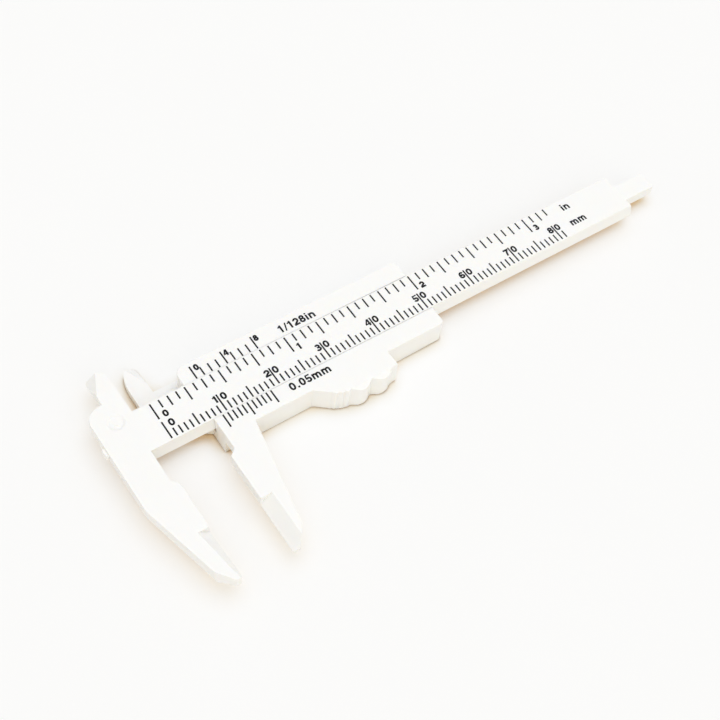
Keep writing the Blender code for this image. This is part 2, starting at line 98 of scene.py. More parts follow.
class NodeSheet:
    """The node tree of one material or world, filled one node at a time."""

    def __init__(self, owner: bpy.types.Material | bpy.types.World) -> None:
        """Clear the owner's own tree.

        Args:
            owner: The material or world whose nodes are written.
        """
        owner.use_nodes = True
        self.tree = owner.node_tree
        self.tree.nodes.clear()

    def add(self, kind: str, **settings: object) -> bpy.types.Node:
        """Add a node.

        Args:
            kind: The node's type, without the word in front of each shader node's.
            settings: Properties of the node, by name.

        Returns:
            The new node.
        """
        node = self.tree.nodes.new("ShaderNode" + kind)
        for name, value in settings.items():
            setattr(node, name, value)
        return node

    def feed(self, node: bpy.types.Node, **sources: object) -> None:
        """Set or join a node's inputs.

        Args:
            node: The node that takes the values.
            sources: A value, or an output of another node, by input name with _ for a space.
        """
        for name, source in sources.items():
            self.plug(node.inputs[name.replace("_", " ")], source)

    def plug(self, socket: bpy.types.NodeSocket, source: object) -> None:
        """Set or join one input.

        Args:
            socket: The input.
            source: A value, or an output of another node.
        """
        if isinstance(source, bpy.types.NodeSocket):
            self.tree.links.new(source, socket)
        else:
            socket.default_value = source

    def noise(
        self, size: float, stretch: Spot = (1, 1, 1), detail: float = 2
    ) -> bpy.types.NodeSocket:
        """Add a noise pattern that is fixed to the object.

        Args:
            size: The width of the pattern's patches, in metres.
            stretch: How many times wider the patches are along X, Y and Z.
            detail: How many finer layers lie on it.

        Returns:
            The output that holds the pattern, from 0 to 1.
        """
        place = self.add("TexCoord")
        mapping = self.add("Mapping")
        self.feed(mapping, Vector=place.outputs["Object"], Scale=[1 / times for times in stretch])
        pattern = self.add("TexNoise")
        self.feed(pattern, Vector=mapping.outputs["Vector"], Scale=1 / size, Detail=detail)
        return pattern.outputs["Fac"]

    def spread(self, source: bpy.types.NodeSocket, low: float, high: float) -> bpy.types.NodeSocket:
        """Stretch a pattern's middle to a range of values.

        Args:
            source: The pattern, from 0 to 1.
            low: The value at the pattern's dark patches.
            high: The value at its light patches.

        Returns:
            The output that holds the values.
        """
        dark_share = 0.3
        light_share = 0.7
        return self.rescale(source, (dark_share, light_share), (low, high))

    def rescale(self, source: bpy.types.NodeSocket, given: Point, made: Point) -> bpy.types.NodeSocket:
        """Turn one range of values into another, with nothing beyond its ends.

        Args:
            source: The output that holds the values.
            given: The two ends of their range.
            made: What these two ends become.

        Returns:
            The output that holds the new values.
        """
        span = self.add("MapRange")
        self.feed(span, Value=source, From_Min=given[0], From_Max=given[1])
        self.feed(span, To_Min=made[0], To_Max=made[1])
        return span.outputs["Result"]

    def tint(self, share: bpy.types.NodeSocket, first: Colour, second: Colour) -> bpy.types.NodeSocket:
        """Mix two colours by a pattern.

        Args:
            share: How much of the second colour shows.
            first: The first colour.
            second: The second colour.

        Returns:
            The output that holds the mixed colour.
        """
        return self.blend(share, self.colour(first), self.colour(second))

    def colour(self, value: Colour) -> bpy.types.NodeSocket:
        """Add one colour as an output.

        Args:
            value: The colour.

        Returns:
            The output that holds it.
        """
        node = self.add("RGB")
        node.outputs["Color"].default_value = (*value, 1)
        return node.outputs["Color"]

    def blend(
        self, share: bpy.types.NodeSocket, first: bpy.types.NodeSocket, second: bpy.types.NodeSocket
    ) -> bpy.types.NodeSocket:
        """Mix two outputs that hold colours.

        Args:
            share: How much of the second one shows.
            first: The first output.
            second: The second output.

        Returns:
            The output that holds the mixed colour.
        """
        mix = self.add("MixRGB")
        self.feed(mix, Fac=share, Color1=first, Color2=second)
        return mix.outputs["Color"]

    def reckon(
        self, what: Reckoning, first: bpy.types.NodeSocket, second: bpy.types.NodeSocket | float
    ) -> bpy.types.NodeSocket:
        """Reckon with two numbers.

        Args:
            what: What to do with them.
            first: The output that holds the first one.
            second: The second one, or the output that holds it.

        Returns:
            The output that holds the result.
        """
        node = self.add("Math", operation=what.value)
        self.plug(node.inputs[0], first)
        self.plug(node.inputs[1], second)
        return node.outputs["Value"]

    def mix(
        self, share: bpy.types.NodeSocket, first: bpy.types.Node, second: bpy.types.Node
    ) -> bpy.types.NodeSocket:
        """Mix two shaders.

        Args:
            share: How much of the second one shows.
            first: The first shader.
            second: The second shader.

        Returns:
            The output that holds the mixed shader.
        """
        both = self.add("MixShader")
        for socket, source in zip(both.inputs, (share, first.outputs[0], second.outputs[0])):
            self.plug(socket, source)
        return both.outputs["Shader"]

    def sight(self) -> bpy.types.NodeSocket:
        """Tell whether a ray comes from the camera, from a reflection or through something clear.

        Returns:
            The output that holds 1 for such a ray and 0 for the light that falls on things.
        """
        path = self.add("LightPath")
        camera, glossy, clear = [
            path.outputs[name] for name in ("Is Camera Ray", "Is Glossy Ray", "Is Transmission Ray")
        ]
        return self.reckon(Reckoning.LARGER, self.reckon(Reckoning.LARGER, camera, glossy), clear)

    def relief(
        self, height: bpy.types.NodeSocket, depth: float, below: bpy.types.NodeSocket | None = None
    ) -> bpy.types.NodeSocket:
        """Turn a pattern into bumps.

        Args:
            height: The pattern, from 0 to 1.
            depth: How far its light patches stand above its dark ones, in metres.
            below: The bumps that these lie on.

        Returns:
            The output that holds the bumps' normal.
        """
        bump = self.add("Bump")
        self.feed(bump, Height=height, Distance=depth)
        if below is not None:
            self.feed(bump, Normal=below)
        return bump.outputs["Normal"]


@dataclass(frozen=True)
class MouldedPlastic:
    """Satin white moulded plastic: a fine grain on slow waves, and light that goes a little way in.

    Its undersides carry a painted warm glow: light that bounces off them takes a warm colour, and so
    paints warm light on what lies below them. The camera sees them white.
    """

    name: str = "moulded_white_plastic"
    colour: Colour = (0.95, 0.945, 0.925)
    warm_colour: Colour = (0.95, 0.94, 0.912)
    patch_size: float = 0.007
    grain_size: float = 0.00022
    grain_depth: float = 0.000003
    fine_detail: float = 3
    wave_size: float = 0.005
    wave_depth: float = 0.00003
    flow_stretch: Spot = (3, 1, 1)
    smooth_roughness: float = 0.34
    dull_roughness: float = 0.46
    gloss_patch_size: float = 0.0012
    glow: float = 0.25
    glow_reach: float = 0.0005
    glow_shares: Colour = (1, 0.85, 0.65)
    # Painted warm glow that bounced light takes from undersides, in place of light through the plastic.
    under_colour: Colour = (0.92, 0.65, 0.15)
    down_share: float = -0.5

    def material(self) -> bpy.types.Material:
        """Make the material.

        Returns:
            The finished material.
        """
        made = bpy.data.materials.new(self.name)
        sheet = NodeSheet(made)
        shader = sheet.add("BsdfPrincipled", subsurface_method="RANDOM_WALK")
        output = sheet.add("OutputMaterial")
        patches = sheet.spread(sheet.noise(self.patch_size, self.flow_stretch), 0, 1)
        gloss = sheet.noise(self.gloss_patch_size, detail=self.fine_detail)
        waves = sheet.noise(self.wave_size, self.flow_stretch)
        grain = sheet.noise(self.grain_size, detail=self.fine_detail)
        normal = sheet.relief(grain, self.grain_depth, sheet.relief(waves, self.wave_depth))
        face = sheet.tint(patches, self.colour, self.warm_colour)
        # Base colour: white, but the painted warm glow for bounced light on undersides.
        sheet.feed(
            shader,
            Base_Color=sheet.blend(self.underside(sheet), face, sheet.colour(self.under_colour)),
            Roughness=sheet.spread(gloss, self.smooth_roughness, self.dull_roughness),
            Normal=normal,
            Subsurface_Weight=self.glow,
            Subsurface_Scale=self.glow_reach,
            Subsurface_Radius=self.glow_shares,
        )
        sheet.feed(output, Surface=shader.outputs["BSDF"])
        return made

    def underside(self, sheet: NodeSheet) -> bpy.types.NodeSocket:
        """Tell where a face that looks down gives bounced light the painted warm glow.

        Args:
            sheet: The sheet that takes the nodes.

        Returns:
            The output that holds 1 there and 0 elsewhere.
        """
        shape = sheet.add("NewGeometry")
        heading = sheet.add("SeparateXYZ")
        sheet.feed(heading, Vector=shape.outputs["Normal"])
        down = sheet.reckon(Reckoning.BELOW, heading.outputs["Z"], self.down_share)
        path = sheet.add("LightPath")
        return sheet.reckon(Reckoning.PRODUCT, down, path.outputs["Is Diffuse Ray"])


@dataclass(frozen=True)
class PrintedInk:
    """Black printing ink: a thin film, duller where it lies thin, with a faint orange-peel skin."""

    name: str = "black_printing_ink"
    colour: Colour = (0.003, 0.003, 0.0035)
    thin_colour: Colour = (0.008, 0.008, 0.009)
    patch_size: float = 0.0003
    skin_size: float = 0.00008
    skin_depth: float = 0.000002
    thick_roughness: float = 0.4
    thin_roughness: float = 0.6
    gloss: float = 0.15

    def material(self) -> bpy.types.Material:
        """Make the material.

        Returns:
            The finished material.
        """
        made = bpy.data.materials.new(self.name)
        sheet = NodeSheet(made)
        shader = sheet.add("BsdfPrincipled")
        output = sheet.add("OutputMaterial")
        patches = sheet.noise(self.patch_size)
        sheet.feed(
            shader,
            Base_Color=sheet.tint(sheet.spread(patches, 0, 1), self.colour, self.thin_colour),
            Roughness=sheet.spread(patches, self.thick_roughness, self.thin_roughness),
            Specular_IOR_Level=self.gloss,
            Normal=sheet.relief(sheet.noise(self.skin_size), self.skin_depth),
        )
        sheet.feed(output, Surface=shader.outputs["BSDF"])
        return made


@dataclass(frozen=True)
class StudioPaper:
    """White paper with a faint cloudiness and a fine tooth, with painted warm shade in its hollows.

    Close to something that stands on it, and more so under something, painted shade turns its colour
    warm and darker, with a dark painted contact line at a part's foot.
    """

    name: str = "studio_paper"
    colour: Colour = (0.94, 0.937, 0.925)
    cloud_colour: Colour = (0.93, 0.927, 0.915)
    # Painted shade colours, laid on where the paper is closed in by the parts.
    hollow_colour: Colour = (0.87, 0.785, 0.62)
    hollow_reach: float = 0.0026
    shelter_colour: Colour = (0.85, 0.6, 0.33)
    shelter_reach: float = 0.006
    shelter_share: float = 0.5
    seam_colour: Colour = (0.45, 0.33, 0.22)
    seam_reach: float = 0.0005
    tucked_share: float = 0.15
    open_share: float = 0.97
    white_share: float = 0.5
    shaded_share: float = 0.5
    cloud_size: float = 0.04
    tooth_size: float = 0.0004
    tooth_depth: float = 0.000004
    sky_rays: int = 8
    roughness: float = 0.9
    gloss: float = 0.1

    def material(self) -> bpy.types.Material:
        """Make the material.

        Returns:
            The finished material.
        """
        made = bpy.data.materials.new(self.name)
        sheet = NodeSheet(made)
        shader = sheet.add("BsdfPrincipled")
        output = sheet.add("OutputMaterial")
        clouds = sheet.spread(sheet.noise(self.cloud_size), 0, 1)
        face = sheet.tint(clouds, self.colour, self.cloud_colour)
        hollow_shade_mask = self.openness(sheet, self.hollow_reach, self.open_share)
        shelter_shade_mask = self.openness(sheet, self.shelter_reach, self.shelter_share)
        contact_shade_mask = self.openness(sheet, self.seam_reach, self.open_share)
        # Painted shade: warm and darker in hollows, under parts and along their feet.
        face = sheet.blend(hollow_shade_mask, sheet.colour(self.hollow_colour), face)
        face = sheet.blend(shelter_shade_mask, sheet.colour(self.shelter_colour), face)
        face = sheet.blend(contact_shade_mask, sheet.colour(self.seam_colour), face)
        sheet.feed(
            shader,
            Base_Color=face,
            Roughness=self.roughness,
            Specular_IOR_Level=self.gloss,
            Normal=sheet.relief(sheet.noise(self.tooth_size), self.tooth_depth),
        )
        white = sheet.add("Emission")
        sheet.feed(white, Color=(1, 1, 1, 1), Strength=1)
        # Painted shade as well: less of the camera's white where the paper is closed in.
        opening = sheet.rescale(hollow_shade_mask, (self.shaded_share, 1), (0, self.white_share))
        share = sheet.reckon(Reckoning.PRODUCT, sheet.sight(), opening)
        sheet.feed(output, Surface=sheet.mix(share, shader, white))
        return made

    def openness(self, sheet: NodeSheet, reach: float, open_share: float) -> bpy.types.NodeSocket:
        """Tell how open the paper lies.

        Args:
            sheet: The sheet that takes the nodes.
            reach: How far off something still counts, in metres.
            open_share: How much of the sky is clear where the paper counts as open.

        Returns:
            The output that holds 0 in a tuck and 1 in the open.
        """
        near = sheet.add("AmbientOcclusion", samples=self.sky_rays)
        sheet.feed(near, Distance=reach)
        return sheet.rescale(near.outputs["AO"], (self.tucked_share, open_share), (0, 1))


def bridge(
    shape: bmesh.types.BMesh, first: Sequence[bmesh.types.BMVert], second: Sequence[bmesh.types.BMVert]
) -> None:
    """Join two rings of points by a band of four-sided faces.

    Args:
        shape: The shape that takes the faces.
        first: One ring.
        second: The other ring, with as many points.
    """
    for number in range(len(first)):
        after = (number + 1) % len(first)
        shape.faces.new((first[number], first[after], second[after], second[number]))


def bow(
    centre: Point, radii: Point, degrees: Point, squareness: float = ELLIPSE_SQUARENESS
) -> list[Point]:
    """Give the points of an oval's arc.

    Args:
        centre: The oval's middle.
        radii: Half its width and half its height.
        degrees: Where the arc starts and ends, from the right. It runs clockwise where it ends
            at the smaller one.
        squareness: How full its corners are, from that of an ellipse upwards.

    Returns:
        The points, both ends among them.
    """
    first, last = degrees
    step_degrees = 15
    fewest = 2
    count = max(fewest, round(abs(last - first) / step_degrees))
    power = ELLIPSE_SQUARENESS / squareness
    points = []
    for number in range(count + 1):
        angle = math.radians(first + (last - first) * number / count)
        across = math.cos(angle)
        up = math.sin(angle)
        x = centre[0] + radii[0] * math.copysign(abs(across) ** power, across)
        y = centre[1] + radii[1] * math.copysign(abs(up) ** power, up)
        points.append((x, y))
    return points


@dataclass(frozen=True)
class Stroke:
    """One stroke of a figure, in shares of the figure's height."""

    points: Sequence[Point]
    weight_share: float
    closed: bool = False

    def sides(self) -> list[tuple[Vector, Vector]]:
        """Give the stroke's left and right side at each point, mitred at the turns.

        Returns:
            A pair of places for each point of the centre line.
        """
        line = [Vector(point) for point in self.points]
        if self.closed:
            line.pop()
        pairs = []
        for number, place in enumerate(line):
            before = line[number - 1] if number or self.closed else None
            after = line[(number + 1) % len(line)] if number + 1 < len(line) or self.closed else None
            arrive = (place - before).normalized() if before else (after - place).normalized()
            leave = (after - place).normalized() if after else arrive
            heading = (arrive + leave).normalized()
            reach = self.weight_share / 2 / heading.dot(arrive)
            normal = Vector((-heading.y, heading.x))
            pairs.append((place + normal * reach, place - normal * reach))
        return pairs

    def solid(self) -> bpy.types.Object:
        """Make the stroke as a closed slab from height 0 to 1.

        Returns:
            The slab.
        """
        shape = bmesh.new()
        rings = []
        for left, right in self.sides():
            corners = [(*left, 0), (*right, 0), (*right, 1), (*left, 1)]
            rings.append([shape.verts.new(corner) for corner in corners])
        pairs = list(zip(rings, rings[1:] + rings[:1]))
        for first, second in pairs if self.closed else pairs[:-1]:
            bridge(shape, first, second)
        if not self.closed:
            shape.faces.new(rings[0])
            shape.faces.new(reversed(rings[-1]))
        bmesh.ops.recalc_face_normals(shape, faces=shape.faces)
        mesh = bpy.data.meshes.new("stroke")
        shape.to_mesh(mesh)
        shape.free()
        slab = bpy.data.objects.new("stroke", mesh)
        bpy.context.scene.collection.objects.link(slab)
        return slab


@dataclass
class Lettering:
    """The shapes of the printed figures and letters, drawn with a plain even pen.

    The shares are of the figures' height, but the fine pen's is of the full pen's width.
    """

    pen_share: float
    figure_width_share: float
    fine_pen_share: float = 0.72
    zero_squareness: float = 2.3
    one_width_share: float = 0.43
    small_height_share: float = 0.74
    n_width_share: float = 0.7
    m_width_share: float = 1.045
    waist_share: float = 0.52
    crossbar_share: float = 0.3
    figure_bearing_share: float = 0.045
    letter_bearing_share: float = 0.085
    slash_bearing_share: float = 0.05
    point_bearing_share: float = 0.12
    one_trail_share: float = 0.17

    def __post_init__(self) -> None:
        """Work out half the pen's width, and start with no figure made."""
        self.half_pen_share = self.pen_share / 2
        self.made: dict[str, bpy.types.Mesh] = {}

    def plain(self, points: Sequence[Point]) -> Stroke:
        """Draw an open stroke with the full pen."""
        return Stroke(points, self.pen_share)

    def fine(self, points: Sequence[Point]) -> Stroke:
        """Draw an open stroke with the fine pen."""
        return Stroke(points, self.pen_share * self.fine_pen_share)

    def stem(self, x: float, top: float = 1) -> Stroke:
        """Draw an upright stroke from the foot, with the full pen."""
        return self.plain([(x, 0), (x, top)])

    def loop(self, low: Point, high: Point, squareness: float = ELLIPSE_SQUARENESS) -> Stroke:
        """Draw a closed oval whose ink fills a box.

        Args:
            low: The box's lower left corner.
            high: Its upper right corner.
            squareness: How full its corners are, from that of an ellipse upwards.

        Returns:
            The stroke.
        """
        centre = ((low[0] + high[0]) / 2, (low[1] + high[1]) / 2)
        radii = ((high[0] - low[0] - self.pen_share) / 2, (high[1] - low[1] - self.pen_share) / 2)
        whole_turn = (0, 360)
        return Stroke(bow(centre, radii, whole_turn, squareness), self.pen_share, closed=True)

    def arch(self, left: float, right: float) -> Stroke:
        """Draw a small letter's arch and the stem that comes down from it.

        Args:
            left: The middle of the stem that it springs from.
            right: The middle of its own stem.

        Returns:
            The stroke.
        """
        radius = (right - left) / 2
        centre = (left + radius, self.small_height_share - self.half_pen_share - radius)
        half_turn = (180, 0)
        return self.plain(bow(centre, (radius, radius), half_turn) + [(right, 0)])

    def zero(self) -> list[Stroke]:
        """Draw a 0, a little fuller than an ellipse."""
        return [self.loop((0, 0), (self.figure_width_share, 1), self.zero_squareness)]

    def one(self) -> list[Stroke]:
        """Draw a 1, with a flag that comes down to the left.

        Returns:
            Its strokes.
        """
        x = self.one_width_share - self.half_pen_share
        flag_shares = [(0, 0.76), (0.12, 0.78), (0.23, 0.85)]
        return [self.stem(x), self.fine(flag_shares + [(x, 1 - self.half_pen_share / 2)])]

    def two(self) -> list[Stroke]:
        """Draw a 2, with a round head and a neck that bends into its foot.

        Returns:
            Its strokes.
        """
        half = self.half_pen_share
        wide = self.figure_width_share
        radius = wide / 2 - half
        head_degrees = (175, -30)
        neck_shares = [(0.46, 0.44), (0.3, 0.32), (0.17, 0.22)]
        head = bow((wide / 2, 1 - half - radius), (radius, radius), head_degrees)
        return [self.plain(head + neck_shares + [(half, half)]), self.plain([(0, half), (wide, half)])]

    def three(self) -> list[Stroke]:
        """Draw a 3, with a smaller bow on a larger one.

        Returns:
            Its strokes.
        """
        half = self.half_pen_share
        wide = self.figure_width_share
        waist = self.waist_share
        upper = (1 - waist) / 2
        lower = waist / 2
        reach = wide / 2 - half
        upper_middle_share = 0.46
        upper_reach_share = 0.86
        lower_middle_share = 0.48
        tongue_shares = (0.33, 0.5)
        upper_degrees = (160, -90)
        lower_degrees = (90, -162)
        centre = (wide * upper_middle_share, waist + upper - half / 2)
        radii = (reach * upper_reach_share, upper - half / 2)
        low_centre = (wide * lower_middle_share, lower + half / 2)
        return [
            self.plain(bow(centre, radii, upper_degrees)),
            self.plain(bow(low_centre, (reach, lower - half / 2), lower_degrees)),
            self.plain([(wide * share, waist) for share in tongue_shares]),
        ]

    def four(self) -> list[Stroke]:
        """Draw a 4, with a fine bar and slope.

        Returns:
            Its strokes.
        """
        half = self.half_pen_share
        wide = self.figure_width_share
        bar = self.crossbar_share
        stem_share = 0.72
        x = wide * stem_share
        return [
            self.stem(x),
            self.fine([(0, bar), (wide, bar)]),
            self.fine([(x - half / 2, 1 - half / 2), (half / 2, bar)]),
        ]

    def five(self) -> list[Stroke]:
        """Draw a 5, with a fine flag and neck on a bowl.

        Returns:
            Its strokes.
        """
        half = self.half_pen_share
        wide = self.figure_width_share
        bowl_share = 0.66
        flag_shares = (0.2, 0.92)
        neck_shares = ((0.27, 1), (0.17, 0.44))
        bowl_degrees = (150, -162)
        top = 1 - half * self.fine_pen_share
        centre = (wide / 2, bowl_share / 2)
        return [
            self.fine([(wide * share, top) for share in flag_shares]),
            self.fine([(wide * share, height) for share, height in neck_shares]),
            self.plain(bow(centre, (wide / 2 - half, bowl_share / 2 - half), bowl_degrees)),
        ]

    def six(self) -> list[Stroke]:
        """Draw a 6, with a round bowl and a bow over it.

        Returns:
            Its strokes.
        """
        half = self.half_pen_share
        wide = self.figure_width_share
        bowl_share = 0.63
        bow_width_share = 0.53
        bow_height_share = 0.5
        bow_degrees = (190, 38)
        middle = (wide * bow_width_share, bow_height_share)
        radii = (middle[0] - half, middle[1] - half)
        return [self.loop((0, 0), (wide, bowl_share)), self.plain(bow(middle, radii, bow_degrees))]

    def seven(self) -> list[Stroke]:
        """Draw a 7, with a leg that bends down to the left.

        Returns:
            Its strokes.
        """
        top = 1 - self.half_pen_share
        wide = self.figure_width_share
        leg_shares = [(0.45, 0.67), (0.34, 0.42), (0.28, 0.18), (0.26, 0)]
        return [
            self.plain([(0, top), (wide, top)]),
            self.plain([(wide - self.half_pen_share, top)] + leg_shares),
        ]

    def eight(self) -> list[Stroke]:
        """Draw an 8, with a smaller loop on a larger one.

        Returns:
            Its strokes.
        """
        half = self.half_pen_share
        wide = self.figure_width_share
        waist = self.waist_share
        inset_share = 0.06
        inset = wide * inset_share
        return [
            self.loop((inset, waist - half), (wide - inset, 1)),
            self.loop((0, 0), (wide, waist + half)),
        ]

    def point(self) -> list[Stroke]:
        """Draw a square point on the foot line."""
        return [self.stem(self.half_pen_share, self.pen_share)]

    def slash(self) -> list[Stroke]:
        """Draw a slash, a little taller than the figures."""
        ends_shares = [(0.04, -0.02), (0.36, 1.02)]
        return [self.fine(ends_shares)]

    def small_i(self) -> list[Stroke]:
        """Draw an i with a square dot.

        Returns:
            Its strokes.
        """
        half = self.half_pen_share
        dot_share = 0.84
        return [self.stem(half, self.small_height_share), self.plain([(half, dot_share), (half, 1)])]

    def small_n(self) -> list[Stroke]:
        """Draw an n: a stem and one arch."""
        half = self.half_pen_share
        return [self.stem(half, self.small_height_share), self.arch(half, self.n_width_share - half)]

    def small_m(self) -> list[Stroke]:
        """Draw an m: a stem and two arches.

        Returns:
            Its strokes.
        """
        half = self.half_pen_share
        middle = self.m_width_share / 2
        first = self.stem(half, self.small_height_share)
        return [first, self.arch(half, middle), self.arch(middle, self.m_width_share - half)]

    def strokes(self, text: str) -> list[Stroke]:
        """Draw one figure or letter.

        Args:
            text: The figure or letter.

        Returns:
            Its strokes, with its left side at 0 and its foot at 0.
        """
        drawings = {
            "0": self.zero,
            "1": self.one,
            "2": self.two,
            "3": self.three,
            "4": self.four,
            "5": self.five,
            "6": self.six,
            "7": self.seven,
            "8": self.eight,
            ".": self.point,
            "/": self.slash,
            "i": self.small_i,
            "n": self.small_n,
            "m": self.small_m,
        }
        return drawings[text]()

    def width(self, text: str) -> float:
        """Give how wide a figure is, in shares of its height."""
        return max(side.x for stroke in self.strokes(text) for pair in stroke.sides() for side in pair)

    def bearing(self, text: str) -> float:
        """Give the blank on each side of a figure.

        Args:
            text: The figure or letter.

        Returns:
            The blank, in shares of the figures' height.
        """
        if text.isdigit():
            return self.figure_bearing_share
        special = {"/": self.slash_bearing_share, ".": self.point_bearing_share}
        return special.get(text, self.letter_bearing_share)

    def advance(self, text: str) -> float:
        """Give the way from a figure's left side to the next one's blank, in shares of its height."""
        trail = self.one_trail_share if text == "1" else 0
        return self.width(text) + self.bearing(text) + trail

    def figure(self, text: str) -> bpy.types.Mesh:
        """Give a figure's mesh, with its strokes joined into one skin.

        Args:
            text: The figure or letter.

        Returns:
            The mesh, one high and from height 0 to 1.
        """
        if text not in self.made:
            slabs = [stroke.solid() for stroke in self.strokes(text)]
            for slab in slabs[1:]:
                join = slabs[0].modifiers.new("join", "BOOLEAN")
                join.operation = "UNION"
                join.solver = "MANIFOLD"
                join.object = slab
            graph = bpy.context.evaluated_depsgraph_get()
            self.made[text] = bpy.data.meshes.new_from_object(slabs[0].evaluated_get(graph))
            for slab in slabs:
                bpy.data.objects.remove(slab)
        return self.made[text]


@dataclass
class Film:
    """Ink laid on a flat face: lines that fill the stamped grooves, and figures that stand on it."""

    face: float
    finish: bpy.types.Material
    groove_depth: float = 0.00005
    groove_width: float = 0.0002
    groove_play: float = 0.000002
    line_width: float = 0.000285
    end_lap: float = 0.00002
    proud: float = 0.000012
    bite: float = 0.000003
    crown_share: float = 0.85

    def lines(self, name: str, rows: Iterable[Row], rider: Rider) -> None:
        """Fill a row of grooves with ink, which laps a little over their sides.

        Args:
            name: The piece's name.
            rows: Each line's x and its two ends' y.
            rider: The body that it travels with.
        """
        shape = bmesh.new()
        stem = self.groove_width / 2 - self.groove_play
        cap = self.line_width / 2
        inset = cap * (1 - self.crown_share)
        floor = self.face - self.groove_depth + self.groove_play
        top = self.face + self.proud
        for x, first_y, second_y in rows:
            low_y, high_y = sorted((first_y, second_y))
            levels = [
                (stem, -self.groove_play, floor),
                (stem, -self.groove_play, self.face),
                (cap, self.end_lap, self.face),
                (cap - inset, self.end_lap - inset, top),
            ]
            rings = []
            for reach, lap, z in levels:
                corners = [
                    (x - reach, low_y - lap, z),
                    (x + reach, low_y - lap, z),
                    (x + reach, high_y + lap, z),
                    (x - reach, high_y + lap, z),
                ]
                rings.append([shape.verts.new(corner) for corner in corners])
            shape.faces.new(reversed(rings[0]))
            shape.faces.new(rings[-1])
            for lower, upper in zip(rings, rings[1:]):
                bridge(shape, lower, upper)
        self.piece(name, shape, rider)

    def words(
        self, name: str, labels: Iterable[Label], height: float, lettering: Lettering, rider: Rider
    ) -> None:
        """Print figures or short marks, one thin film for each figure.

        Args:
            name: The piece's name.
            labels: Each text, with the x of its left side and the y of its foot.
            height: The figures' height.
            lettering: Their shapes.
            rider: The body that they travel with.
        """
        shape = bmesh.new()
        for text, left, foot in labels:
            place_x = left
            for number, letter in enumerate(text):
                if number:
                    place_x += lettering.bearing(letter) * height
                place = Matrix.Translation((place_x, foot, self.face - self.bite))
                size = Matrix.Diagonal((height, height, self.proud + self.bite, 1))
                figure = lettering.figure(letter).copy()
                figure.transform(place @ size)
                shape.from_mesh(figure)
                bpy.data.meshes.remove(figure)
                place_x += lettering.advance(letter) * height
        self.piece(name, shape, rider)

    def piece(self, name: str, shape: bmesh.types.BMesh, rider: Rider) -> None:
        """Turn a shape into a dressed piece that rides on its body.

        Args:
            name: The piece's name.
            shape: Its faces, in the frame's metres.
            rider: The body that it travels with.
        """
        mesh = bpy.data.meshes.new(name)
        shape.to_mesh(mesh)
        shape.free()
        mesh.materials.append(self.finish)
        made = bpy.data.objects.new(name, mesh)
        bpy.context.scene.collection.objects.link(made)
        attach(made, rider.value)
        LOG.info("%s: %d faces, on %s", name, len(mesh.polygons), rider.value)


@dataclass
class Mouldings:
    """The three plastic parts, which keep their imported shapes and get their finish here."""

    finish: MouldedPlastic = MouldedPlastic()

    def dress(self) -> None:
        """Give each moulding the plastic's finish."""
        plastic = self.finish.material()
        for part in Part:
            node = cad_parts[part.value]
            node.data.materials.clear()
            node.data.materials.append(plastic)
            LOG.info("%s: %s", part.value, plastic.name)


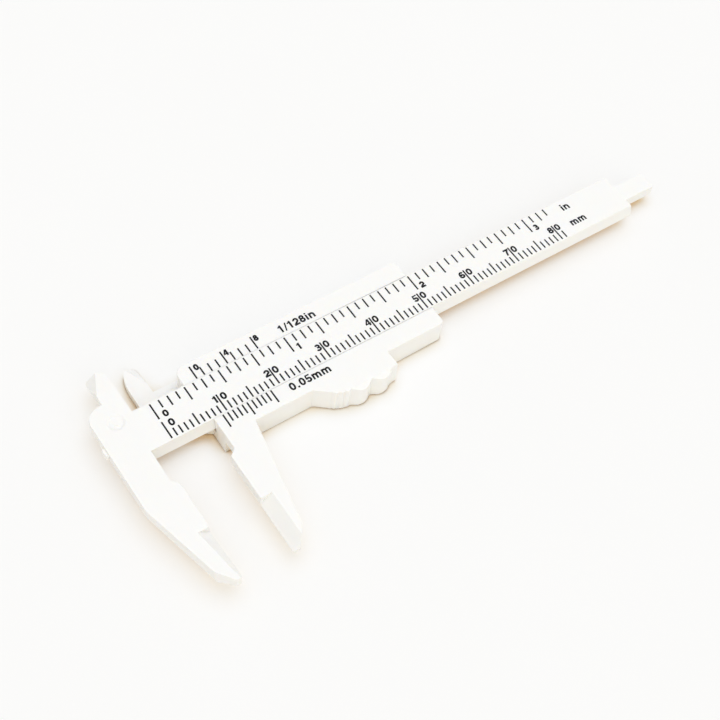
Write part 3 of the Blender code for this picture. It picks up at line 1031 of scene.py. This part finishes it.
@dataclass
class MainScales:
    """The beam's print: millimetres on its lower edge and inches on its upper one."""

    film: Film
    beam_reach: float = 0.0962
    jaw_depth: float = 0.0298
    half_face: float = 0.00385
    mm_margin: float = 0.00025
    inch_margin: float = 0.0002
    millimetre: float = 0.001
    mm_count: int = 82
    five_step: int = 5
    ten_step: int = 10
    mm_line: float = 0.00155
    five_line: float = 0.0023
    ten_line: float = 0.0034
    inch: float = 0.0254
    sixteenth_count: int = 52
    eighth_step: int = 2
    quarter_step: int = 4
    inch_step: int = 16
    sixteenth_line: float = 0.00155
    eighth_line: float = 0.00195
    quarter_line: float = 0.00266
    inch_line: float = 0.0032
    mm_figure_height: float = 0.0014
    mm_figure_foot: float = -0.00166
    mm_zero_lead: float = 0.00087
    tens_gap: float = 0.00024
    first_tens_gap: float = 0.00034
    ones_gap: float = 0.0003
    first_ones_gap: float = 0.00043
    inch_figure_height: float = 0.00131
    inch_figure_foot: float = 0.0003
    inch_zero_lead: float = 0.00092
    inch_figure_lead: float = 0.00078
    figure_pen: float = 0.00034
    figure_width_share: float = 0.735
    mark_height: float = 0.00148
    mark_pen: float = 0.00034
    mark_width_share: float = 0.69
    inch_mark_left: float = 0.08428
    inch_mark_foot: float = 0.00143
    mm_mark_left: float = 0.08358
    mm_mark_foot: float = -0.00218

    def __post_init__(self) -> None:
        """Find the scales' zero and the beam's middle from the beam's box."""
        low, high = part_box(Part.BEAM.value)
        self.zero_x = high.x - self.beam_reach
        self.middle_y = low.y + self.jaw_depth

    def mm_rows(self) -> list[Row]:
        """Give the millimetre lines.

        Returns:
            Each line's x and its two ends' y.
        """
        base = self.middle_y - self.half_face + self.mm_margin
        rows = []
        for count in range(self.mm_count):
            length = self.mm_line
            if count % self.five_step == 0:
                length = self.five_line
            if count % self.ten_step == 0:
                length = self.ten_line
            rows.append((self.zero_x + count * self.millimetre, base, base + length))
        return rows

    def inch_rows(self) -> list[Row]:
        """Give the inch lines.

        Returns:
            Each line's x and its two ends' y.
        """
        base = self.middle_y + self.half_face - self.inch_margin
        rows = []
        for count in range(self.sixteenth_count):
            length = self.sixteenth_line if count % self.eighth_step else self.eighth_line
            if count % self.quarter_step == 0:
                length = self.quarter_line
            if count % self.inch_step == 0:
                length = self.inch_line
            rows.append((self.zero_x + count * self.inch / self.inch_step, base, base - length))
        return rows

    def mm_figures(self) -> list[Label]:
        """Give the millimetre figures: a zero, then tens with the long line between their digits.

        Returns:
            Each text, with the x of its left side and the y of its foot.
        """
        foot = self.middle_y + self.mm_figure_foot
        lettering = self.figures(self.mm_figure_height)
        labels = [("0", self.zero_x + self.mm_zero_lead, foot)]
        for ten in range(1, self.mm_count // self.ten_step + 1):
            line = self.zero_x + ten * self.ten_step * self.millimetre
            digit = str(ten)
            width = lettering.width(digit) * self.mm_figure_height
            left_gap = self.first_tens_gap if ten == 1 else self.tens_gap
            right_gap = self.first_ones_gap if ten == 1 else self.ones_gap
            labels.append((digit, line - left_gap - width, foot))
            labels.append(("0", line + right_gap, foot))
        return labels

    def inch_figures(self) -> list[Label]:
        """Give the inch figures, each to the right of its line and in the middle of its place.

        Returns:
            Each text, with the x of its left side and the y of its foot.
        """
        foot = self.middle_y + self.inch_figure_foot
        lettering = self.figures(self.inch_figure_height)
        labels = []
        for count in range(self.sixteenth_count // self.inch_step + 1):
            digit = str(count)
            spare = lettering.width("0") - lettering.width(digit)
            lead = self.inch_figure_lead if count else self.inch_zero_lead
            left = self.zero_x + count * self.inch + lead
            labels.append((digit, left + spare / 2 * self.inch_figure_height, foot))
        return labels

    def figures(self, height: float) -> Lettering:
        """Give the lettering of the scales' figures, for figures of a height."""
        return Lettering(self.figure_pen / height, self.figure_width_share)

    def marks(self, height: float) -> Lettering:
        """Give the lettering of the marks and of the verniers' figures, for figures of a height."""
        return Lettering(self.mark_pen / height, self.mark_width_share)

    def build(self) -> None:
        """Print the lines, the figures and the two unit marks on the beam."""
        rider = Rider.BEAM
        self.film.lines("mm_scale_lines", self.mm_rows(), rider)
        self.film.lines("inch_scale_lines", self.inch_rows(), rider)
        height = self.mm_figure_height
        self.film.words("mm_scale_figures", self.mm_figures(), height, self.figures(height), rider)
        height = self.inch_figure_height
        self.film.words("inch_scale_figures", self.inch_figures(), height, self.figures(height), rider)
        height = self.mark_height
        labels = [
            ("in", self.zero_x + self.inch_mark_left, self.middle_y + self.inch_mark_foot),
            ("mm", self.zero_x + self.mm_mark_left, self.middle_y + self.mm_mark_foot),
        ]
        self.film.words("unit_marks", labels, height, self.marks(height), rider)


@dataclass
class Verniers:
    """The slider's print: a millimetre vernier below the beam and an inch one above it."""

    film: Film
    scales: MainScales
    slider_reach: float = 0.0417
    clearance: float = 0.0001
    margin: float = 0.0001
    mm_span: float = 0.009
    mm_parts: int = 10
    mm_line: float = 0.00175
    mm_long_line: float = 0.00255
    inch_span: float = 0.0116
    inch_parts: int = 8
    inch_line: float = 0.0017
    inch_long_line: float = 0.0026
    figure_height: float = 0.00125
    figure_foot: float = 0.00542
    zero_lead: float = 0.00052
    figure_lead: float = 0.00032
    mark_height: float = 0.00152
    mm_mark_left: float = 0.01194
    mm_mark_foot: float = -0.00598
    inch_mark_left: float = 0.01652
    inch_mark_foot: float = 0.00466

    def __post_init__(self) -> None:
        """Find the verniers' zero from the slider's box."""
        self.zero_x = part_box(Part.SLIDER.value)[1].x - self.slider_reach

    def rows(self, edge: Edge, span: float, parts: int, short: float, long: float) -> list[Row]:
        """Give one vernier's lines, with long ones at its ends and in its middle.

        Args:
            edge: Which way the lines run from the beam.
            span: The vernier's length.
            parts: How many parts it has.
            short: A plain line's length.
            long: A long line's length.

        Returns:
            Each line's x and its two ends' y.
        """
        rows = []
        reach = self.scales.half_face + self.clearance + self.margin
        base = self.scales.middle_y + edge.value * reach
        for count in range(parts + 1):
            length = short if count % (parts // 2) else long
            rows.append((self.zero_x + span * count / parts, base, base + edge.value * length))
        return rows

    def build(self) -> None:
        """Print both verniers, the inch vernier's figures and the two reading marks."""
        rider = Rider.SLIDER
        middle = self.scales.middle_y
        rows = self.rows(Edge.DOWN, self.mm_span, self.mm_parts, self.mm_line, self.mm_long_line)
        self.film.lines("mm_vernier_lines", rows, rider)
        rows = self.rows(Edge.UP, self.inch_span, self.inch_parts, self.inch_line, self.inch_long_line)
        self.film.lines("inch_vernier_lines", rows, rider)
        foot = middle + self.figure_foot
        labels = [("0", self.zero_x + self.zero_lead, foot)]
        for count in (self.inch_parts // 2, self.inch_parts):
            line = self.zero_x + self.inch_span * count / self.inch_parts
            labels.append((str(count), line + self.figure_lead, foot))
        height = self.figure_height
        self.film.words("inch_vernier_figures", labels, height, self.scales.marks(height), rider)
        height = self.mark_height
        lettering = self.scales.marks(height)
        labels = [("0.05mm", self.zero_x + self.mm_mark_left, middle + self.mm_mark_foot)]
        self.film.words("mm_vernier_mark", labels, height, lettering, rider)
        labels = [("1/128in", self.zero_x + self.inch_mark_left, middle + self.inch_mark_foot)]
        self.film.words("inch_vernier_mark", labels, height, lettering, rider)


@dataclass(frozen=True)
class Lamp:
    """A wide soft lamp: where it hangs, as seen from the caliper, and its light.

    The spread is how wide it looks from there, in degrees, and the strength its power on each
    square metre.
    """

    name: str
    place: Spot
    spread: float
    strength: float
    colour: Colour

    def mirrored(self, name: str) -> "Lamp":
        """Give the same lamp on the caliper's other side.

        Args:
            name: Its name.

        Returns:
            The lamp, not hung yet.
        """
        x, y, z = self.place
        return replace(self, name=name, place=(-x, y, z))

    def hang(self) -> None:
        """Hang the lamp in the studio."""
        light = bpy.data.lights.new(self.name, "SUN")
        light.energy = self.strength
        light.angle = math.radians(self.spread)
        light.color = self.colour
        lamp = bpy.data.objects.new(self.name, light)
        lamp.rotation_euler = Vector(self.place).to_track_quat("Z", "Y").to_euler()
        lamp.location = self.place
        bpy.context.scene.collection.objects.link(lamp)
        LOG.info("%s: %.2f", self.name, self.strength)


@dataclass
class Studio:
    """White paper, a cool lamp overhead, a warm one in front, one at each side, fill and the camera."""

    paper: StudioPaper = StudioPaper()
    paper_reach: float = 3.0
    paper_parts: int = 24
    paper_drop: float = 0.00008
    key: Lamp = Lamp(
        "key_lamp", place=(0.15, 0.14, 1.0), spread=60, strength=0.95, colour=(1.0, 1.08, 1.24)
    )
    front: Lamp = Lamp(
        "front_lamp", place=(-0.2, -0.9, 0.53), spread=60, strength=0.72, colour=(1.0, 0.965, 0.885)
    )
    side: Lamp = Lamp(
        "right_lamp", place=(1.0, 0.12, 0.48), spread=85, strength=0.45, colour=(1.0, 1.02, 1.08)
    )
    fill_strength: float = 0.46
    fill_colour: Colour = (1.0, 0.95, 0.83)
    aim: Spot = (-0.012818, 0.001414, 0.0049)
    distance: float = 0.22713
    azimuth: float = -41.485
    elevation: float = 55.722
    roll: float = 8.863
    lens: float = 68.45
    sensor: float = 36
    near_share: float = 0.01

    def lay_paper(self) -> None:
        """Lay the paper a hair below the slider's back."""
        shape = bmesh.new()
        parts = self.paper_parts
        bmesh.ops.create_grid(shape, x_segments=parts, y_segments=parts, size=self.paper_reach / 2)
        mesh = bpy.data.meshes.new("studio_paper")
        shape.to_mesh(mesh)
        shape.free()
        mesh.materials.append(self.paper.material())
        sheet = bpy.data.objects.new("studio_paper", mesh)
        sheet.location.z = CAD_BOX[0].z - self.paper_drop
        bpy.context.scene.collection.objects.link(sheet)
        LOG.info("%s: %.1f m wide", sheet.name, self.paper_reach)

    def fill(self) -> None:
        """Set the fill light, and the white that the camera sees past the paper."""
        world = bpy.data.worlds.new("studio_fill")
        bpy.context.scene.world = world
        sheet = NodeSheet(world)
        glow = sheet.add("Background")
        sheet.feed(glow, Color=(*self.fill_colour, 1), Strength=self.fill_strength)
        white = sheet.add("Background")
        sheet.feed(white, Color=(1, 1, 1, 1), Strength=1)
        output = sheet.add("OutputWorld")
        sheet.feed(output, Surface=sheet.mix(sheet.sight(), glow, white))
        LOG.info("%s: %.2f", world.name, self.fill_strength)

    def place_camera(self) -> None:
        """Stand the camera where the photograph was taken from."""
        upright = 90
        data = bpy.data.cameras.new("camera")
        data.lens = self.lens
        data.sensor_width = self.sensor
        data.clip_start = self.distance * self.near_share
        camera = bpy.data.objects.new("camera", data)
        turn = Matrix.Rotation(math.radians(self.azimuth), 4, "Z")
        tilt = Matrix.Rotation(math.radians(upright - self.elevation), 4, "X")
        roll = Matrix.Rotation(math.radians(self.roll), 4, "Z")
        step_back = Matrix.Translation((0, 0, self.distance))
        camera.matrix_world = Matrix.Translation(self.aim) @ turn @ tilt @ roll @ step_back
        bpy.context.scene.collection.objects.link(camera)
        bpy.context.scene.camera = camera
        LOG.info("%s: %.3f m away", camera.name, self.distance)

    def build(self) -> None:
        """Set up the whole studio."""
        self.lay_paper()
        for lamp in (self.key, self.front, self.side, self.side.mirrored("left_lamp")):
            lamp.hang()
        self.fill()
        self.place_camera()
        bpy.context.scene.view_settings.view_transform = "Standard"


def main() -> None:
    """Dress the mouldings, print both scales and both verniers, and set up the studio."""
    logging.basicConfig(level=logging.INFO, format="%(message)s")
    Mouldings().dress()
    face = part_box(Part.BEAM.value)[1].z
    film = Film(face, PrintedInk().material())
    scales = MainScales(film)
    scales.build()
    Verniers(film, scales).build()
    Studio().build()


if __name__ == "__main__":
    main()
